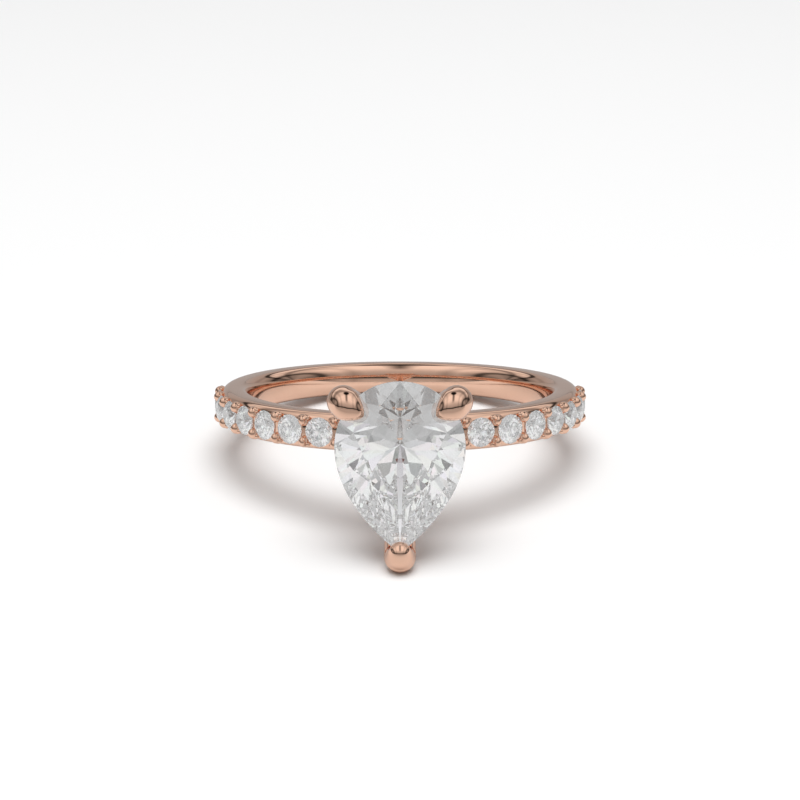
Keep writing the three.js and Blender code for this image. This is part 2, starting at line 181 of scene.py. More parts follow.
@dataclass(frozen=True)
class RingFrame:
    """Where the ring lies, and the way from its own axes to the room's."""

    to_room: Matrix

    @classmethod
    def from_record(cls, record: dict, band: BandSizes) -> "RingFrame":
        """Reads the lean and the centre from the flats on the band's back.

        Args:
            record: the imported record.
            band: the band's sizes.

        Returns:
            The frame.
        """
        mounts = {mount["name"]: mount for mount in record["mounts"]}
        upper, lower = (mounts[f"band_side_{side}"] for side in ("upper", "lower"))
        finger = Vector(upper["axis"]).normalized()
        across = Vector((1, 0, 0))
        backwards = finger.cross(across)
        middle = (Vector(upper["pos_m"]) + Vector(lower["pos_m"])) / 2
        centre = middle - backwards * band.back_middle * MM
        turn = Matrix((across, backwards, finger)).transposed().to_4x4()
        return cls(Matrix.Translation(centre) @ turn @ Matrix.Scale(MM, 4))

    def point(self, x: float, y: float, z: float) -> Vector:
        """A point given in the ring's millimetres, in the room's metres."""
        return self.to_room @ Vector((x, y, z))


# --------------------------------------------------------------------------- finishes


class Slot(Enum):
    """The record's material slots."""

    GOLD = "rose_gold"
    CENTRE = "centre_diamond"
    SIDE = "side_diamonds"


class NodePalette:
    """Adds and links nodes in one node tree."""

    def __init__(self, tree: bpy.types.NodeTree) -> None:
        """Keeps the tree that nodes are added to."""
        self.tree = tree

    def add(self, kind: str, **settings: object) -> bpy.types.Node:
        """Adds a node.

        Args:
            kind: the node's type name without its ShaderNode prefix.
            settings: node properties, or input values under the input's name.

        Returns:
            The new node.
        """
        node = self.tree.nodes.new(kind if kind.startswith("Node") else f"ShaderNode{kind}")
        for name, value in settings.items():
            if hasattr(node, name):
                setattr(node, name, value)
            else:
                node.inputs[name.replace("_", " ")].default_value = value
        return node

    def link(self, source: bpy.types.NodeSocket, target: bpy.types.NodeSocket) -> None:
        """Links two sockets."""
        self.tree.links.new(source, target)

    def maths(
        self, operation: str, *values: bpy.types.NodeSocket | float
    ) -> bpy.types.NodeSocket:
        """Adds a Math node.

        Args:
            operation: what it works out.
            values: a socket or a number for each of its inputs.

        Returns:
            Its output.
        """
        node = self.add("Math", operation=operation)
        for value, socket in zip(values, node.inputs):
            if isinstance(value, (int, float)):
                socket.default_value = value
            else:
                self.link(value, socket)
        return node.outputs[0]

    def ramp(self, value: bpy.types.NodeSocket, stops: Stops) -> bpy.types.NodeSocket:
        """Adds a ramp of greys.

        Args:
            value: the socket that it reads, from 0 to 1.
            stops: (position, grey) pairs.

        Returns:
            Its output.
        """
        node = self.add("ValToRGB")
        elements = node.color_ramp.elements
        elements[0].position, elements[1].position = stops[0][0], stops[-1][0]
        for position, _ in stops[1:-1]:
            elements.new(position)
        for element, (_, grey) in zip(elements, stops):
            element.color = (grey, grey, grey, 1.0)
        self.link(value, node.inputs[0])
        return node.outputs[0]


def polish_marks() -> bpy.types.NodeTree:
    """The marks that hand polishing leaves: a fine haze, hairlines and a soft unevenness.

    Returns:
        A shader node group with a roughness, a height and a warmth output.
    """
    name = "polish_marks"
    group = bpy.data.node_groups.get(name)
    if group is not None:
        return group
    group = bpy.data.node_groups.new(name, "ShaderNodeTree")
    for label, default in (
        ("Gloss", 0.05), ("Haze", 0.05), ("Hairlines", 0.3), ("Grain Size", 900.0),
    ):
        socket = group.interface.new_socket(label, in_out="INPUT", socket_type="NodeSocketFloat")
        socket.default_value = default
    for label in ("Roughness", "Height", "Warmth"):
        group.interface.new_socket(label, in_out="OUTPUT", socket_type="NodeSocketFloat")
    palette = NodePalette(group)
    given = palette.add("NodeGroupInput")
    result = palette.add("NodeGroupOutput")
    place = palette.add("TexCoord")
    haze = palette.add("TexNoise", Detail=6.0, Roughness=0.6)
    hairlines = palette.add("TexNoise", Detail=2.0, Roughness=0.5)
    stretch = palette.add("Mapping")
    stretch.inputs["Scale"].default_value = (1.0, 1.0, 14.0)
    palette.link(place.outputs["Object"], haze.inputs["Vector"])
    palette.link(place.outputs["Object"], stretch.inputs["Vector"])
    palette.link(stretch.outputs["Vector"], hairlines.inputs["Vector"])
    palette.link(given.outputs["Grain Size"], haze.inputs["Scale"])
    palette.link(given.outputs["Grain Size"], hairlines.inputs["Scale"])
    rough = palette.add("Math", operation="MULTIPLY_ADD")
    palette.link(haze.outputs["Fac"], rough.inputs[0])
    palette.link(given.outputs["Haze"], rough.inputs[1])
    palette.link(given.outputs["Gloss"], rough.inputs[2])
    height = palette.add("Math", operation="MULTIPLY")
    palette.link(hairlines.outputs["Fac"], height.inputs[0])
    palette.link(given.outputs["Hairlines"], height.inputs[1])
    palette.link(rough.outputs[0], result.inputs["Roughness"])
    palette.link(height.outputs[0], result.inputs["Height"])
    palette.link(haze.outputs["Fac"], result.inputs["Warmth"])
    return group


@dataclass(frozen=True)
class RoseGold:
    """Polished rose gold, with values for one kind of surface."""

    name: str
    deep: tuple[float, float, float] = (0.84, 0.525, 0.385)
    pale: tuple[float, float, float] = (0.89, 0.585, 0.44)
    gloss: float = 0.04
    haze: float = 0.04
    hairlines: float = 0.3
    grain_size: float = 1500.0
    relief: float = 0.02
    relief_depth: float = 0.01

    def build(self) -> bpy.types.Material:
        """Makes the material.

        Returns:
            A metal whose colour, gloss and relief come from its polish marks.
        """
        material = bpy.data.materials.new(self.name)
        material.use_nodes = True
        palette = NodePalette(material.node_tree)
        shader = material.node_tree.nodes["Principled BSDF"]
        shader.inputs["Metallic"].default_value = 1.0
        marks = palette.add("Group", node_tree=polish_marks())
        marks.inputs["Gloss"].default_value = self.gloss
        marks.inputs["Haze"].default_value = self.haze
        marks.inputs["Hairlines"].default_value = self.hairlines
        marks.inputs["Grain Size"].default_value = self.grain_size
        tone = palette.add("Mix", data_type="RGBA")
        tone.inputs[6].default_value = (*self.deep, 1.0)
        tone.inputs[7].default_value = (*self.pale, 1.0)
        depth = self.relief_depth * MM
        relief = palette.add("Bump", Strength=self.relief, Distance=depth)
        palette.link(marks.outputs["Warmth"], tone.inputs[0])
        palette.link(tone.outputs[2], shader.inputs["Base Color"])
        palette.link(marks.outputs["Roughness"], shader.inputs["Roughness"])
        palette.link(marks.outputs["Height"], relief.inputs["Height"])
        palette.link(relief.outputs["Normal"], shader.inputs["Normal"])
        return material


@dataclass(frozen=True)
class Diamond:
    """Clear cut diamond."""

    name: str
    cool: tuple[float, float, float] = (0.985, 0.992, 1.0)
    warm: tuple[float, float, float] = (1.0, 0.995, 0.985)
    ior: float = 2.417
    cloud_size: float = 420.0

    def build(self) -> bpy.types.Material:
        """Makes the material.

        Returns:
            A clear stone with the faintest change of tint through it.
        """
        material = bpy.data.materials.new(self.name)
        material.use_nodes = True
        palette = NodePalette(material.node_tree)
        shader = material.node_tree.nodes["Principled BSDF"]
        shader.inputs["Transmission Weight"].default_value = 1.0
        shader.inputs["IOR"].default_value = self.ior
        shader.inputs["Roughness"].default_value = 0.0
        place = palette.add("TexCoord")
        cloud = palette.add("TexNoise", Scale=self.cloud_size, Detail=1.0)
        tint = palette.add("Mix", data_type="RGBA")
        tint.inputs[6].default_value = (*self.cool, 1.0)
        tint.inputs[7].default_value = (*self.warm, 1.0)
        palette.link(place.outputs["Object"], cloud.inputs["Vector"])
        palette.link(cloud.outputs["Fac"], tint.inputs[0])
        palette.link(tint.outputs[2], shader.inputs["Base Color"])
        return material


# ------------------------------------------------------------------------- mesh making


def mesh_object(bm: bmesh.types.BMesh, name: str) -> bpy.types.Object:
    """Turns a bmesh into an object in the scene, and frees it.

    Args:
        bm: the finished shape, in metres in the room.
        name: the object's name.

    Returns:
        The object, at the origin.
    """
    bmesh.ops.recalc_face_normals(bm, faces=bm.faces)
    mesh = bpy.data.meshes.new(name)
    bm.to_mesh(mesh)
    bm.free()
    thing = bpy.data.objects.new(name, mesh)
    bpy.context.scene.collection.objects.link(thing)
    return thing


def combine(
    target: bpy.types.Object, tool: bpy.types.Object, operation: str, keep_tool: bool = False
) -> None:
    """Joins a tool to a piece, or cuts it away, and bakes the result into the piece.

    Args:
        target: the piece that changes.
        tool: the closed shape it is combined with.
        operation: UNION or DIFFERENCE.
        keep_tool: whether the tool is used again.
    """
    change = target.modifiers.new("combine", "BOOLEAN")
    change.operation = operation
    change.solver = "MANIFOLD"
    change.object = tool
    evaluated = target.evaluated_get(bpy.context.evaluated_depsgraph_get())
    result = bpy.data.meshes.new_from_object(evaluated)
    result.materials.clear()
    target.modifiers.clear()
    spent = target.data
    target.data = result
    bpy.data.meshes.remove(spent)
    if not keep_tool:
        discard(tool)


def discard(thing: bpy.types.Object) -> None:
    """Removes an object and its mesh."""
    mesh = thing.data
    bpy.data.objects.remove(thing)
    bpy.data.meshes.remove(mesh)


def smooth_below(thing: bpy.types.Object, degrees: float) -> None:
    """Shades a piece smooth, but leaves every edge sharper than this as a crease."""
    thing.data.polygons.foreach_set("use_smooth", [True] * len(thing.data.polygons))
    thing.data.set_sharp_from_angle(angle=math.radians(degrees))


def turned(
    profile: Sequence[tuple[float, float]], sides: int, placement: Matrix,
    into: Optional[bmesh.types.BMesh] = None,
) -> bmesh.types.BMesh:
    """A turned solid.

    Args:
        profile: (radius, height) points from the axis round to the axis.
        sides: steps in a turn.
        placement: where the shape goes.
        into: a bmesh to add it to.

    Returns:
        The bmesh that holds it.
    """
    bm = into or bmesh.new()
    corners = [bm.verts.new((radius, 0, height)) for radius, height in profile]
    edges = [bm.edges.new(pair) for pair in zip(corners, corners[1:])]
    bmesh.ops.spin(
        bm, geom=corners + edges, cent=(0, 0, 0), axis=(0, 0, 1), angle=FULL_TURN,
        steps=sides, use_merge=True,
    )
    made = [vert for vert in bm.verts if not vert.tag]
    bmesh.ops.remove_doubles(bm, verts=made, dist=WELD)
    made = [vert for vert in bm.verts if not vert.tag]
    bmesh.ops.transform(bm, matrix=placement, verts=made)
    for vert in made:
        vert.tag = True
    return bm


def swept(
    path: Sequence[Vector], radii: Sequence[float], sides: int, placement: Matrix
) -> bmesh.types.BMesh:
    """A round bar along a path, closed at both ends.

    Args:
        path: points along its middle.
        radii: its radius at each point.
        sides: sides of its section.
        placement: where the shape goes.

    Returns:
        A bmesh that holds it.
    """
    bm = bmesh.new()
    bmesh.ops.create_circle(bm, segments=sides, radius=1.0)
    edges = list(bm.edges)
    turn = Quaternion()
    before = Matrix()
    heading = Vector((0, 0, 1))
    for index, (spot, radius) in enumerate(zip(path, radii)):
        ahead = path[min(index + 1, len(path) - 1)] - path[max(index - 1, 0)]
        turn = heading.rotation_difference(ahead) @ turn
        heading = ahead
        station = Matrix.Translation(spot) @ turn.to_matrix().to_4x4() @ Matrix.Scale(radius, 4)
        if index:
            grown = bmesh.ops.extrude_edge_only(bm, edges=edges)["geom"]
            edges = [item for item in grown if isinstance(item, bmesh.types.BMEdge)]
            verts = [item for item in grown if isinstance(item, bmesh.types.BMVert)]
        else:
            verts = list(bm.verts)
        bmesh.ops.transform(bm, matrix=station @ before.inverted(), verts=verts)
        before = station
    bmesh.ops.holes_fill(bm, edges=bm.edges, sides=sides)
    bmesh.ops.transform(bm, matrix=placement, verts=bm.verts)
    return bm


def through(points: Sequence[Vector], count: int, closed: bool = False) -> list[Vector]:
    """Evenly spaced points on a smooth curve through the given ones.

    Args:
        points: the points that the curve passes.
        count: how many to return.
        closed: whether the curve ends where it starts.

    Returns:
        The points, from first to last.
    """
    ends = [points[-1], *points, points[0], points[1]] if closed else [
        2 * points[0] - points[1], *points, 2 * points[-1] - points[-2]]
    fine: list[Vector] = []
    for a, b, c, d in zip(ends, ends[1:], ends[2:], ends[3:]):
        for step in range(CURVE_STEPS):
            t = step / CURVE_STEPS
            fine.append(0.5 * (
                2 * b + (c - a) * t + (2 * a - 5 * b + 4 * c - d) * t ** 2
                + (3 * b - a - 3 * c + d) * t ** 3))
    fine.append(points[0].copy() if closed else points[-1].copy())
    walked = [0.0]
    for a, b in zip(fine, fine[1:]):
        walked.append(walked[-1] + (b - a).length)
    spaced: list[Vector] = []
    at = 0
    for index in range(count):
        goal = walked[-1] * index / (count - 1)
        while at < len(fine) - 2 and walked[at + 1] < goal:
            at += 1
        span = max(walked[at + 1] - walked[at], 1e-9)
        spaced.append(fine[at].lerp(fine[at + 1], min(1.0, (goal - walked[at]) / span)))
    return spaced


def mix(a: float, b: float, share: float) -> float:
    """The value this share of the way from a to b."""
    return a + (b - a) * share


def ease(share: float) -> float:
    """A smooth step from 0 to 1."""
    share = min(1.0, max(0.0, share))
    return share * share * (3 - 2 * share)


# -------------------------------------------------------------------------------- band


@dataclass
class Shank:
    """The band, with its raised beads and drilled seats."""

    frame: RingFrame
    sizes: BandSizes = field(default_factory=BandSizes)
    setting: SettingSizes = field(default_factory=SettingSizes)

    @property
    def seat_radius(self) -> float:
        """How far the small stones' girdles are from the ring's centre."""
        return self.sizes.outer + self.setting.proud

    @property
    def pitch(self) -> float:
        """The angle from one small stone to the next."""
        return (2 * self.setting.stone_radius + self.setting.gap) / self.seat_radius

    @property
    def first_bead(self) -> float:
        """The angle from the head to the nearest bead pair."""
        return self.setting.first_bead_arc / self.sizes.outer

    def bead_angles(self) -> list[float]:
        """The angles of all bead pairs, on both sides of the head."""
        steps = range(self.setting.per_side + 1)
        return [side * (self.first_bead + k * self.pitch) for side in (-1, 1) for k in steps]

    def stone_angles(self) -> list[float]:
        """The angles of all small stones, on both sides of the head."""
        steps = range(self.setting.per_side)
        return [
            side * (self.first_bead + (k + 0.5) * self.pitch) for side in (-1, 1) for k in steps
        ]

    def place(self, angle: float, radius: float, along: float = 0.0) -> Matrix:
        """A spot on the band, with Z outwards, X along the band and Y along the finger."""
        outwards = Vector((math.sin(angle), -math.cos(angle), 0))
        onward = Vector((math.cos(angle), math.sin(angle), 0))
        turn = Matrix((onward, Vector((0, 0, 1)), outwards)).transposed().to_4x4()
        spot = outwards * radius + Vector((0, 0, along))
        return self.frame.to_room @ Matrix.Translation(spot) @ turn

    def section(self, angle: float, turn: float) -> tuple[float, float]:
        """A point of the band's section.

        Args:
            angle: round the band, from the head.
            turn: round the section, from its outer crown.

        Returns:
            The radius and the place along the finger.
        """
        sizes = self.sizes
        set_end = self.first_bead + self.setting.per_side * self.pitch
        plain = ease((abs(angle) - set_end) / (math.pi - set_end))
        thickness = mix(sizes.front_thickness, sizes.back_thickness, plain)
        width = mix(sizes.front_width, sizes.back_width, plain)
        power = 2 / mix(sizes.front_squareness, sizes.back_squareness, plain)
        out, up = math.cos(turn), math.sin(turn)
        corner = (thickness - sizes.side_flat) / 2
        across = math.copysign(sizes.side_flat / 2 + corner * abs(out) ** power, out)
        return (
            sizes.bore_radius + thickness / 2 + across,
            math.copysign(width / 2 * abs(up) ** power, up),
        )

    def blank(self) -> bpy.types.Object:
        """The band before its seats are cut: a spun ring, drawn to its section."""
        sizes = self.sizes
        core = sizes.bore_radius + sizes.front_thickness / 2
        bm = bmesh.new()
        half_side = math.pi / sizes.section_sides
        upright = Matrix.Translation((0, -core, 0)) @ Matrix.Rotation(math.pi / 2, 4, "Y")
        bmesh.ops.create_circle(
            bm, segments=sizes.section_sides, radius=sizes.blank_radius,
            matrix=upright @ Matrix.Rotation(half_side, 4, "Z"),
        )
        bmesh.ops.spin(
            bm, geom=list(bm.verts) + list(bm.edges), cent=(0, 0, 0), axis=(0, 0, 1),
            angle=FULL_TURN, steps=sizes.segments, use_merge=True,
        )
        for vert in bm.verts:
            angle = math.atan2(vert.co.x, -vert.co.y)
            turn = math.atan2(vert.co.z, vert.co.xy.length - core)
            radius, along = self.section(angle, turn)
            vert.co = (radius * math.sin(angle), -radius * math.cos(angle), along)
        bmesh.ops.transform(bm, matrix=self.frame.to_room, verts=bm.verts)
        return mesh_object(bm, "band_metal")

    def seats(self) -> bpy.types.Object:
        """The drills that cut every seat, as one tool."""
        setting = self.setting
        wall = setting.stone_radius + setting.clearance
        shoulder = -setting.seat_shoulder
        hole_top = shoulder - setting.pavilion * (1 - setting.light_hole / wall)
        profile = [
            (0, setting.seat_top), (wall, setting.seat_top), (wall, shoulder),
            (setting.light_hole, hole_top), (setting.light_hole, -setting.drill_depth),
            (0, -setting.drill_depth),
        ]
        bm = bmesh.new()
        for angle in self.stone_angles():
            turned(profile, setting.drill_sides, self.place(angle, self.seat_radius), bm)
        return mesh_object(bm, "seat_tool")

    def beads(self, tails: bool) -> bpy.types.Object:
        """The raised beads, or the fishtails that join them to the edges of the band.

        Args:
            tails: whether the fishtails are made.

        Returns:
            All of them, as one tool.
        """
        setting = self.setting
        size, offset, lift = (
            (setting.tail_shape, setting.tail_offset, 0.0) if tails
            else (setting.bead_shape, setting.bead_offset, setting.bead_lift))
        shape = Matrix.Translation((0, 0, lift)) @ Matrix.Diagonal((*size, 1))
        across, down = setting.bead_steps
        bm = bmesh.new()
        for angle in self.bead_angles():
            for side in (-1, 1):
                place = self.place(angle, self.sizes.outer, side * offset)
                bmesh.ops.create_uvsphere(
                    bm, u_segments=across, v_segments=down, radius=1.0, matrix=place @ shape)
        return mesh_object(bm, "bead_tool")

    def build(self, finish: bpy.types.Material, collar: bpy.types.Object) -> bpy.types.Object:
        """Makes the band.

        Args:
            finish: its metal.
            collar: a tool that cuts the pocket for the head.

        Returns:
            The finished band.
        """
        band = self.blank()
        combine(band, self.seats(), "DIFFERENCE")
        combine(band, self.beads(tails=True), "UNION")
        combine(band, self.beads(tails=False), "UNION")
        combine(band, collar, "DIFFERENCE")
        smooth_below(band, self.sizes.crease)
        band.data.materials.append(finish)
        return band


# -------------------------------------------------------------------------------- head


@dataclass
class Head:
    """The claws, gallery wires and collar that carry the centre stone."""

    frame: RingFrame
    band: BandSizes = field(default_factory=BandSizes)
    sizes: HeadSizes = field(default_factory=HeadSizes)

    @property
    def placement(self) -> Matrix:
        """From X across, Y along the finger and Z outwards, to the room."""
        return self.frame.to_room @ Matrix.Rotation(math.pi / 2, 4, "X")

    def outline(self, share: float, step: float) -> Vector:
        """A point on the pear's outline.

        Args:
            share: how large the outline is beside the stone's.
            step: 0 at the top, 8 at the point, 16 at the top again.

        Returns:
            The point, in the girdle's plane.
        """
        radius, point = self.sizes.pear_radius * share, self.sizes.pear_point * share
        side, walked = (1, step) if step <= 8 else (-1, 16 - step)
        if walked <= 4:
            angle = walked / 4 * math.pi / 2
            return Vector((side * radius * math.sin(angle), radius * math.cos(angle), 0))
        down = walked / 4 - 1
        return Vector((side * radius * (1 - down * down), -point * down, 0))

    def claw_path(self, foot: Vector, middle: Vector, reach: float) -> list[Vector]:
        """The middle line of a claw, from the collar over the girdle to its tip.

        Args:
            foot: where it starts, in the girdle's plane.
            middle: where it passes the girdle.
            reach: from there to its tip.

        Returns:
            Evenly spaced points.
        """
        sizes = self.sizes
        inward = (Vector((0, sizes.claw_aim, 0)) - middle).normalized()
        outward = middle - foot
        crown_foot = sizes.girdle_height + sizes.girdle / 2
        root = self.band.outer + sizes.base_height * sizes.claw_root_share
        points = [foot + Vector((0, 0, root))]
        for share, drop in sizes.claw_rise:
            points.append(foot + outward * share + Vector((0, 0, sizes.girdle_height - drop)))
        points.append(middle + Vector((0, 0, sizes.girdle_height - sizes.claw_pass)))
        for share, height in sizes.claw_bends:
            points.append(middle + inward * reach * share + Vector((0, 0, crown_foot + height)))
        return through(points, sizes.claw_stations)

    def claw(self, name: str, middle: Vector, reach: float, tip: float) -> bpy.types.Object:
        """One claw before its seat is cut.

        Args:
            name: the object's name.
            middle: where it passes the girdle.
            reach: from there to its tip.
            tip: the radius of its tip.

        Returns:
            The claw.
        """
        sizes = self.sizes
        foot = middle.normalized() * (sizes.base_top - sizes.base_wall / 2)
        path = self.claw_path(foot, middle, reach)
        radii = []
        for index in range(len(path)):
            share = index / (len(path) - 1)
            if share < sizes.claw_taper:
                grown = min(1, share / sizes.claw_grown)
                radii.append(mix(sizes.claw_foot, sizes.claw_top, grown))
            else:
                closing = (share - sizes.claw_taper) / (1 - sizes.claw_taper)
                radii.append(mix(sizes.claw_top, tip, closing ** sizes.claw_taper_power))
        for back, share in enumerate(sizes.claw_end):
            radii[-1 - back] *= share
        return mesh_object(swept(path, radii, sizes.claw_sides, self.placement), name)

    def claws(self) -> list[bpy.types.Object]:
        """All three claws before their seats are cut."""
        sizes = self.sizes
        lift = math.radians(sizes.claw_azimuth)
        stand = sizes.pear_radius + sizes.claw_standoff
        upper = [Vector((side * math.cos(lift), math.sin(lift), 0)) * stand for side in (-1, 1)]
        point = Vector((0, -sizes.pear_point - sizes.point_standoff, 0))
        return [
            self.claw("claw_left_metal", upper[0], sizes.claw_reach, sizes.claw_tip),
            self.claw("claw_right_metal", upper[1], sizes.claw_reach, sizes.claw_tip),
            self.claw("claw_point_metal", point, sizes.point_reach, sizes.point_tip),
        ]

    def rail(self, name: str, share: float, drop: float, room: float = 0.0) -> bpy.types.Object:
        """A gallery wire that follows the pear's outline.

        Args:
            name: the object's name.
            share: its size beside the stone's outline.
            drop: how far it is below the girdle.
            room: extra radius, for a tool.

        Returns:
            The wire.
        """
        sizes = self.sizes
        level = Vector((0, 0, sizes.girdle_height - drop))
        steps = sizes.rail_steps
        marks = [self.outline(share, mark) + level for mark in sizes.rail_marks]
        path = through(marks, steps + 1, closed=True)
        bm = bmesh.new()
        bmesh.ops.create_circle(
            bm, segments=sizes.rail_sides, radius=sizes.rail_radius + room,
            matrix=Matrix.Translation((1, 0, 0)) @ Matrix.Rotation(math.pi / 2, 4, "X"))
        bmesh.ops.spin(
            bm, geom=list(bm.verts) + list(bm.edges), cent=(0, 0, 0), axis=(0, 0, 1),
            angle=FULL_TURN, steps=steps, use_merge=True)
        for vert in bm.verts:
            walked = (math.atan2(vert.co.y, vert.co.x) / FULL_TURN) % 1
            index = round(walked * steps) % steps
            ahead = (path[(index + 1) % steps] - path[index - 1]).normalized()
            out = ahead.cross(Vector((0, 0, 1)))
            vert.co = path[index] + out * (vert.co.xy.length - 1) + Vector((0, 0, vert.co.z))
        bmesh.ops.transform(bm, matrix=self.placement, verts=bm.verts)
        return mesh_object(bm, name)

    def collar(self, name: str, room: float = 0.0) -> bpy.types.Object:
        """The collar that joins the claws to the band, or with room the pocket it sits in.

        Args:
            name: the object's name.
            room: extra size all round, for a tool.

        Returns:
            The collar or the pocket.
        """
        sizes, outer = self.sizes, self.band.outer
        top = outer + sizes.base_height
        hollow = sizes.base_top - sizes.base_wall
        inside = [(0, top + room)] if room else [
            (0, outer), (hollow * sizes.base_floor_share, outer),
            (hollow, top - sizes.base_lip), (hollow + sizes.base_lip, top)]
        outside = [
            (sizes.base_top - sizes.base_edge + room, top + room),
            (sizes.base_top + room, top - sizes.base_edge),
            (sizes.base_foot + room, outer + sizes.base_height * sizes.base_foot_share),
            (sizes.spigot_radius + room, outer - sizes.spigot_depth * sizes.spigot_shoulder),
            (sizes.spigot_radius + room, outer - sizes.spigot_depth - room),
            (0, outer - sizes.spigot_depth - room),
        ]
        return mesh_object(turned(inside + outside, sizes.base_sides, self.placement), name)

    def build(
        self, finish: bpy.types.Material, stone: bpy.types.Object
    ) -> dict[str, bpy.types.Object]:
        """Makes all the head's metal.

        Args:
            finish: its metal.
            stone: the centre stone, which the claws' seats are cut to.

        Returns:
            Each piece, under the node that it stands for.
        """
        sizes = self.sizes
        pieces = {
            node: self.rail(f"{node}_metal", share, drop) for node, share, drop in sizes.rails
        }
        collar = self.collar("head_base_metal")
        for claw in self.claws():
            combine(collar, claw, "DIFFERENCE", keep_tool=True)
            combine(claw, stone, "DIFFERENCE", keep_tool=True)
            for _, share, drop in sizes.rails:
                combine(claw, self.rail("rail_tool", share, drop, sizes.room), "DIFFERENCE")
            pieces[claw.name.removesuffix("_metal")] = claw
        pieces["head_base"] = collar
        for piece in pieces.values():
            smooth_below(piece, sizes.crease)
            piece.data.materials.append(finish)
        return pieces


def stone_tool(node: bpy.types.Object, room: float) -> bpy.types.Object:
    """A closed copy of a cut stone, a little larger all round, to cut its seats with.

    Args:
        node: the stone as packed.
        room: the extra size, as a share of the stone.

    Returns:
        The tool.
    """
    bm = bmesh.new()
    bm.from_mesh(node.data)
    bmesh.ops.remove_doubles(bm, verts=bm.verts, dist=STONE_WELD)
    low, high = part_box(node.name)
    middle = (Vector(low) + Vector(high)) / 2
    grow = Matrix.Translation(middle) @ Matrix.Scale(1 + room, 4) @ Matrix.Translation(-middle)
    bmesh.ops.transform(bm, matrix=grow, verts=bm.verts)
    return mesh_object(bm, "stone_tool")


# ------------------------------------------------------------------------------- stage


